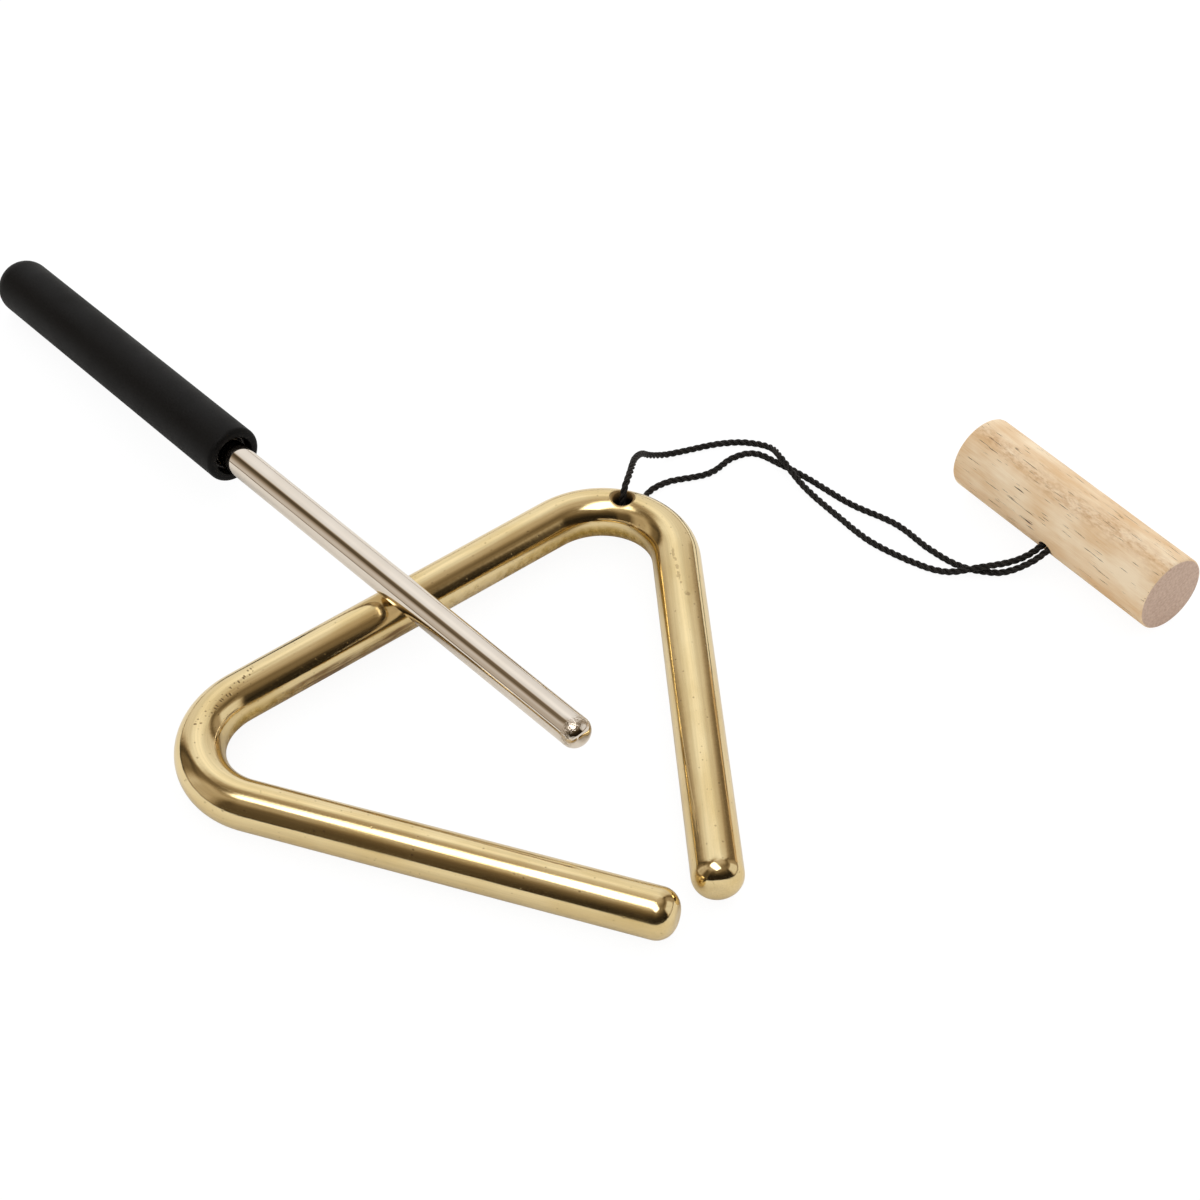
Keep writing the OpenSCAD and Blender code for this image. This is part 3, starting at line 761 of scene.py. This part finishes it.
# Rubberwood dowel, turned and sanded: cream and tan along the grain, dark open pores, greyer sawn ends
def makeWood():
    material, tree, shader, look = newMaterial("sandedRubberwood", "wood", dowel["finish"],
        onToggle.translation)
    # growth layers round the pith, swaying along the grain
    fromPith = addNode(tree, "ShaderNodeMapping", {"Vector": look["spot"], **dowel["pith"]})
    reach = addNode(tree, "ShaderNodeVectorMath", {0: fromPith}, operation="LENGTH")
    layer = addNode(tree, "ShaderNodeMath", {0: look["swayNoise"], 1: dowel["sway"], 2: reach},
        operation="MULTIPLY_ADD")
    layerTurn = addNode(tree, "ShaderNodeMath", {0: layer, 1: 2 * math.pi / dowel["layerGap"]},
        operation="MULTIPLY")
    layers = addNode(tree, "ShaderNodeMath", {0: layerTurn}, operation="SINE")
    mixed = look["blush"]
    for tint, weight in ((layers, dowel["layerTint"]), (look["fibre"], dowel["fibreTint"])):
        mixed = addNode(tree, "ShaderNodeMath", {0: tint, 1: weight, 2: mixed}, operation="MULTIPLY_ADD")
    grain = addNode(tree, "ShaderNodeValToRGB", {"Fac": mixed}, dowel["grain"])
    # a brownish flame of short flecks along the upper side
    swayed = addNode(tree, "ShaderNodeMath", {0: look["swayNoise"], 1: dowel["flameSway"], 2: look["x"]},
        operation="MULTIPLY_ADD")
    look["flame"] = near(tree, swayed, *dowel["flameAt"])
    topSide = addNode(tree, "ShaderNodeMath", {0: look["z"], 1: 0.0}, operation="GREATER_THAN")
    for share in (topSide, look["fleckCut"]):
        look["flame"] = addNode(tree, "ShaderNodeMath", {0: look["flame"], 1: share}, operation="MULTIPLY")
    poreCut = addNode(tree, "ShaderNodeMath", {0: look["drift"], 1: dowel["poreDrift"], 2: look["pore"]},
        operation="MULTIPLY_ADD")
    look["pores"] = addNode(tree, "ShaderNodeMapRange", {"Value": poreCut, **dowel["poreEdge"]})
    # sawn ends: greyer and finely mottled, with the pores seen end on
    look["endTone"] = addNode(tree, "ShaderNodeValToRGB", {"Fac": look["mottle"]}, dowel["ends"])
    facing = addNode(tree, "ShaderNodeTexCoord").outputs["Normal"]
    facing = addNode(tree, "ShaderNodeSeparateXYZ", {0: facing}).outputs["Y"]
    square = addNode(tree, "ShaderNodeMath", {0: facing}, operation="ABSOLUTE")
    look["isEnd"] = addNode(tree, "ShaderNodeMapRange", {"Value": square, **dowel["endEdge"]})
    finishOff(tree, shader, look, dowel["finish"], grain)
    return material


wood = makeWood()
half, edge, radius = dowel["length"] / 2, dowel["edge"], dowel["radius"]
ring, steps = dowel["endRing"], dowel["edgeSteps"]
toggleOutline = ([(0, -half), (ring, -half)]
    + roundOff(radius - edge, edge - half, edge, -90, 0, steps)
    + levels(radius, edge - half, half - edge, dowel["ringStep"])
    + roundOff(radius - edge, half - edge, edge, 0, 90, steps) + [(ring, half), (0, half)])
toggle = lathe("dowelToggle", toggleOutline, dowel["sides"], onToggle @ rotate(90, "X"))
past = radius + dowel["overrun"]
for width, low in ((dowel["bore"], -past), (dowel["knotBore"], dowel["knotSeat"])):
    boreOutline = [(0, low), (width / 2, low), (width / 2, past), (0, past)]
    cutAway(toggle, lathe("bore", boreOutline, dowel["boreSides"], onToggle @ rotate(90, "Y")))
smooth(toggle)
dress(toggle, wood, "holder", "toggle")
print("toggle turned and bored")


# Steel beater
beater = {
    "radius": 3.6,
    "length": 231.5,
    "endWall": 9.0,
    "endRounding": 2.9,
    "rings": 120,
    "ringsInEnd": 14,
    "sides": 64,
    "lineStep": 0.5,
    "sleeve": (3.63, 4.83),  # inner and outer radius
    "lipSteps": 12,
    "sleeveRingStep": 4.0,
    "grip": 102.0,
    "gripRadius": 7.0,
    "gripRounding": 6.0,
    "gripMouth": 1.2,
    "mouthDepth": 2.4,
    "gripBore": 4.86,  # its radius
    "boreEdge": 0.3,
    "edgeSteps": (4, 8, 14),  # points on the bore's edge, the mouth's edge and the dome
    "endGap": 0.1,  # between the rod's end and the end of the grip's bore
    "gripRingStep": 2.0,
    "gripSides": 80,
    "shoulder": (2.2, 1.8, 0.6),  # along the tip: middle, gone at, full up to
    "wear": 0.65,
    "steelBase": "#E9E0D4",
    "steel": {
        "noises": {
            "lines": ((0.05, 3.0, 3.0), 2),
            "smear": (0.12, 3),
            "wave": ((0.05, 0.3, 0.3), 1),
            "dentNoise": (2.2, 3),
        },
        "shares": {"dents": ("dentNoise", 0.45, 0.7)},
        "layers": {"smear": "#DDD1C2", "worn": "#8A744F"},
        "rough": 0.005,
        "rougher": {"smear": 0.03, "lines": 0.02, "tipDents": 0.2},
        "relief": {"wave": (1.0, 0.02), "lines": (1.0, 0.003), "tipDents": (1.0, -0.05)},
        "shader": {"Metallic": 1.0},
    },
    "rubberTones": ((0.35, "#050404"), (0.70, "#0B0A09")),
    "rubber": {
        "noises": {"grain": (2.6, 3), "rub": (0.09, 4)},
        "shares": {"dullness": ("rub", 0.3, 0.7, 0.52, 0.66)},
        "rough": "dullness",
        "relief": {"grain": (0.8, 0.05)},
        "shader": {"Specular IOR Level": 0.16},
    },
    "linerBase": "#171514",
    "liner": {
        "noises": {"lumps": (0.9, 3)},
        "shares": {"dullness": ("lumps", 0.3, 0.7, 0.18, 0.4)},
        "layers": {"lumps": "#2F2A28"},
        "rough": "dullness",
        "relief": {"lumps": (1.0, 0.35)},
    },
}


# Bright nickel on ground steel: a pale warm mirror with faint grinding lines and a knocked tip
def makeSteel():
    material, tree, shader, look = newMaterial("nickelPlatedSteel", "steel", beater["steel"])
    # the shoulder of the tip is dented by use, its crown stays bright
    atTip = near(tree, look["x"], *beater["shoulder"])
    look["tipDents"] = addNode(tree, "ShaderNodeMath", {0: look["dents"], 1: atTip}, operation="MULTIPLY")
    look["worn"] = addNode(tree, "ShaderNodeMath", {0: look["tipDents"], 1: beater["wear"]},
        operation="MULTIPLY")
    finishOff(tree, shader, look, beater["steel"], beater["steelBase"])
    return material


# Moulded black rubber: dead matte with a fine grain, paler where hands have rubbed it
def makeRubber():
    make = beater["rubber"]
    material, tree, shader, look = newMaterial("mouldedBlackRubber", "rubber", make, (0, 0, 0))
    tone = addNode(tree, "ShaderNodeValToRGB", {"Fac": look["rub"]}, beater["rubberTones"])
    finishOff(tree, shader, look, make, tone)
    return material


# Set adhesive round the liner: black, wet looking and lumpy
def makeLiner():
    make = beater["liner"]
    material, tree, shader, look = newMaterial("glossyBlackLiner", "liner", make, (0, 0, 0))
    finishOff(tree, shader, look, make, beater["linerBase"])
    return material


steel, rubber, liner = makeSteel(), makeRubber(), makeLiner()
rodEnd = beater["length"] - beater["endWall"]
gripStart = beater["length"] - beater["grip"]
beaterLine = [Vector((0, 0, 0)), Vector((rodEnd * mm, 0, 0))]
beaterRod = grow("steelBeaterRod", beaterLine, barShape, barKeys, {
    "Bend radius": 0.0, "Bar radius": beater["radius"] * mm,
    "End rounding": beater["endRounding"] * mm, "Rings": beater["rings"],
    "Rings in an end": beater["ringsInEnd"], "Sides": beater["sides"], "Finish": steel})
storeStraight(beaterRod, beaterLine, beater["lineStep"] * mm)
beaterRod.data.transform(onBeater @ rotate(-90, "Y"))
smooth(beaterRod)
dress(beaterRod, steel, "beater", "beater_rod")

inner, outer = beater["sleeve"]
lip, step = (outer - inner) / 2, beater["sleeveRingStep"]
lipHeight = gripStart + beater["mouthDepth"] + lip
sleeveOutline = (roundOff(inner + lip, lipHeight, lip, 180, 360, beater["lipSteps"])
    + levels(outer, lipHeight, rodEnd, step) + [(outer, rodEnd), (inner, rodEnd)]
    + levels(inner, rodEnd, lipHeight, step))
sleeve = lathe("gripLiner", sleeveOutline, beater["sides"], onBeater)
smooth(sleeve)
dress(sleeve, liner, "beater", "grip_sleeve")

gripR, gripTop, dome = beater["gripRadius"], beater["length"], beater["gripRounding"]
boreR, boreEnd, boreEdge = beater["gripBore"], rodEnd + beater["endGap"], beater["boreEdge"]
mouthR, (boreSteps, mouthSteps, domeSteps) = beater["gripMouth"], beater["edgeSteps"]
gripOutline = ([(0, boreEnd), (boreR, boreEnd)]
    + levels(boreR, boreEnd, gripStart + boreEdge, step)
    + roundOff(boreR + boreEdge, gripStart + boreEdge, boreEdge, 180, 270, boreSteps)
    + roundOff(gripR - mouthR, gripStart + mouthR, mouthR, -90, 0, mouthSteps)
    + levels(gripR, gripStart + mouthR, gripTop - dome, beater["gripRingStep"])
    + roundOff(gripR - dome, gripTop - dome, dome, 0, 90, domeSteps) + [(0, gripTop)])
grip = lathe("rubberGrip", gripOutline, beater["gripSides"], onBeater)
smooth(grip)
dress(grip, rubber, "beater", "beater_grip")
print("beater, liner and grip made")


# Floor, studio and light
studio = {
    "floorHalf": 1.6,
    "floorDrop": 0.00002,
    "floorTone": "#F8F6F2",
    "shadowShare": 0.13,  # how much of the floor's own light the camera keeps, for a faint shadow
    "floorGlow": 0.916,  # the rest of its white, for the camera alone
    "fill": 0.87,  # even light for dull surfaces
    "room": 0.019,  # the dark part of the studio that polished metal shows
    "roomTint": "#FFDAA2",  # and how warm it is; the lit parts are white
    "whiteFrom": 0.9,
    # the panels end a little above the paper; polished metal shows the dark gap as a thin line
    "gap": (1.0, 4.5),  # dark up to the first elevation, fully lit from the second
    "gapLevel": 0.25,
    # lit walls that polished metal shows: azimuth, half width, elevation, half height, edge, strength
    "walls": [
        (58.5, 46.5, 21, 33.4, 7, 0.72),
        (61, 22.2, 28, 30.7, 22.9, 0.28),
        (-39, 23.3, 22, 17.1, 4, 0.45),
        (-28, 31.9, 19, 25.8, 8.6, 0.38),
        (149, 17.5, 20, 30.5, 8, 0.52),
        (127, 14, 19, 15.3, 5, 0.17),
        (-179, 15.6, 16, 28.2, 2.4, 0.08),
        (-122, 54.6, 56, 24.5, 10.8, 0.07),
    ],
    # lit panels overhead, on a ceiling one unit up: middle, half sizes, edge, strength
    "ceiling": [
        ((-0.265, -0.11), (0.205, 0.415), 0.10, 4.5),
        ((-0.08, 0.07), (0.72, 1.04), 0.32, 0.18),
        ((0.36, 0.39), (0.30, 0.06), 0.35, 0.97),
        ((-0.12, 0.0), (0.89, 0.23), 0.27, 0.37),
    ],
    "ceilingFrom": 0.05,  # lower than this rise the ceiling isn't seen
    "lampPlace": (0.90, 0.75, 0.58),
    "lampSize": 0.9,
    "lampPower": 5.5,
}
white = (1, 1, 1, 1)
floorMesh = bpy.data.meshes.new("floor")
far = studio["floorHalf"]
floorMesh.from_pydata([(-far, -far, 0), (far, -far, 0), (far, far, 0), (-far, far, 0)], [], [(0, 1, 2, 3)])
floor = place("floor", floorMesh)
floor.location.z = -studio["floorDrop"]
floorFinish = bpy.data.materials.new("whitePaperSweep")
floorFinish.use_nodes = True
floorNodes = floorFinish.node_tree
floorNodes.nodes.clear()
ray = addNode(floorNodes, "ShaderNodeLightPath")
paper = addNode(floorNodes, "ShaderNodeBsdfDiffuse", {"Color": studio["floorTone"]})
seen = addNode(floorNodes, "ShaderNodeBsdfDiffuse", {"Color": [studio["shadowShare"]] * 3 + [1]})
glow = addNode(floorNodes, "ShaderNodeEmission", {"Color": white, "Strength": studio["floorGlow"]})
lifted = addNode(floorNodes, "ShaderNodeAddShader", {0: seen, 1: glow})
surface = addNode(floorNodes, "ShaderNodeMixShader", {0: ray.outputs["Is Camera Ray"], 1: paper, 2: lifted})
addNode(floorNodes, "ShaderNodeOutputMaterial", {"Surface": surface})
floorMesh.materials.append(floorFinish)

world = bpy.data.worlds.new("studio")
bpy.context.scene.world = world
world.use_nodes = True
sky = world.node_tree
sky.nodes.clear()
aim = addNode(sky, "ShaderNodeTexCoord").outputs["Generated"]
aimX, aimY, aimZ = addNode(sky, "ShaderNodeSeparateXYZ", {0: aim}).outputs
height = addNode(sky, "ShaderNodeMath", {0: aimZ}, operation="ARCSINE")


# 1 within half of the middle, 0 outside, over an edge twice as wide as soft
def within(value, middleValue, half, soft):
    return near(sky, value, middleValue, half + soft, half - soft, interpolation_type="SMOOTHSTEP")


lights = []
for *angles, strength in studio["walls"]:
    azimuth, halfWide, elevation, halfHigh, soft = (math.radians(angle) for angle in angles)
    turned = addNode(sky, "ShaderNodeVectorRotate", {"Vector": aim, "Angle": -azimuth},
        rotation_type="Z_AXIS")
    flatX, flatY, _ = addNode(sky, "ShaderNodeSeparateXYZ", {0: turned}).outputs
    bearing = addNode(sky, "ShaderNodeMath", {0: flatY, 1: flatX}, operation="ARCTAN2")
    wide, high = within(bearing, 0.0, halfWide, soft), within(height, elevation, halfHigh, soft)
    lights.append((wide, high, strength))
steep = addNode(sky, "ShaderNodeMath", {0: aimZ, 1: studio["ceilingFrom"]}, operation="MAXIMUM")
onCeilingX = addNode(sky, "ShaderNodeMath", {0: aimX, 1: steep}, operation="DIVIDE")
onCeilingY = addNode(sky, "ShaderNodeMath", {0: aimY, 1: steep}, operation="DIVIDE")
for (middleX, middleY), (halfX, halfY), soft, strength in studio["ceiling"]:
    wide, high = within(onCeilingX, middleX, halfX, soft), within(onCeilingY, middleY, halfY, soft)
    lights.append((wide, high, strength))
total = studio["room"]
for wide, high, strength in lights:
    both = addNode(sky, "ShaderNodeMath", {0: wide, 1: high}, operation="MULTIPLY")
    total = addNode(sky, "ShaderNodeMath", {0: both, 1: strength, 2: total}, operation="MULTIPLY_ADD")
gapEnd, gapTop = (math.radians(angle) for angle in studio["gap"])
aboveGap = addNode(sky, "ShaderNodeMapRange", {"Value": height, "From Min": gapEnd, "From Max": gapTop,
    "To Min": studio["gapLevel"]}, interpolation_type="SMOOTHSTEP")
total = addNode(sky, "ShaderNodeMath", {0: total, 1: aboveGap}, operation="MULTIPLY")
path = addNode(sky, "ShaderNodeLightPath")
warmth = addNode(sky, "ShaderNodeMapRange", {"Value": total, "From Max": studio["whiteFrom"]})
warm = addNode(sky, "ShaderNodeMix", {0: warmth, 6: studio["roomTint"], 7: white}, data_type="RGBA")
boxes = addNode(sky, "ShaderNodeBackground", {"Color": warm, "Strength": total})
even = addNode(sky, "ShaderNodeBackground", {"Color": white, "Strength": studio["fill"]})
backdrop = addNode(sky, "ShaderNodeBackground", {"Color": white, "Strength": 1.0})
lit = addNode(sky, "ShaderNodeMixShader", {0: path.outputs["Is Glossy Ray"], 1: even, 2: boxes})
whole = addNode(sky, "ShaderNodeMixShader", {0: path.outputs["Is Camera Ray"], 1: lit, 2: backdrop})
addNode(sky, "ShaderNodeOutputWorld", {"Surface": whole})

lamp = bpy.data.objects.new("sideBox", bpy.data.lights.new("sideBox", "AREA"))
bpy.context.scene.collection.objects.link(lamp)
lamp.data.shape = "SQUARE"
lamp.data.size = studio["lampSize"]
lamp.data.energy = studio["lampPower"]
lamp.location = studio["lampPlace"]
lamp.rotation_euler = (-lamp.location).to_track_quat("-Z", "Y").to_euler()
lamp.visible_glossy = False
bpy.context.scene.view_settings.view_transform = "Standard"
print("studio lit")
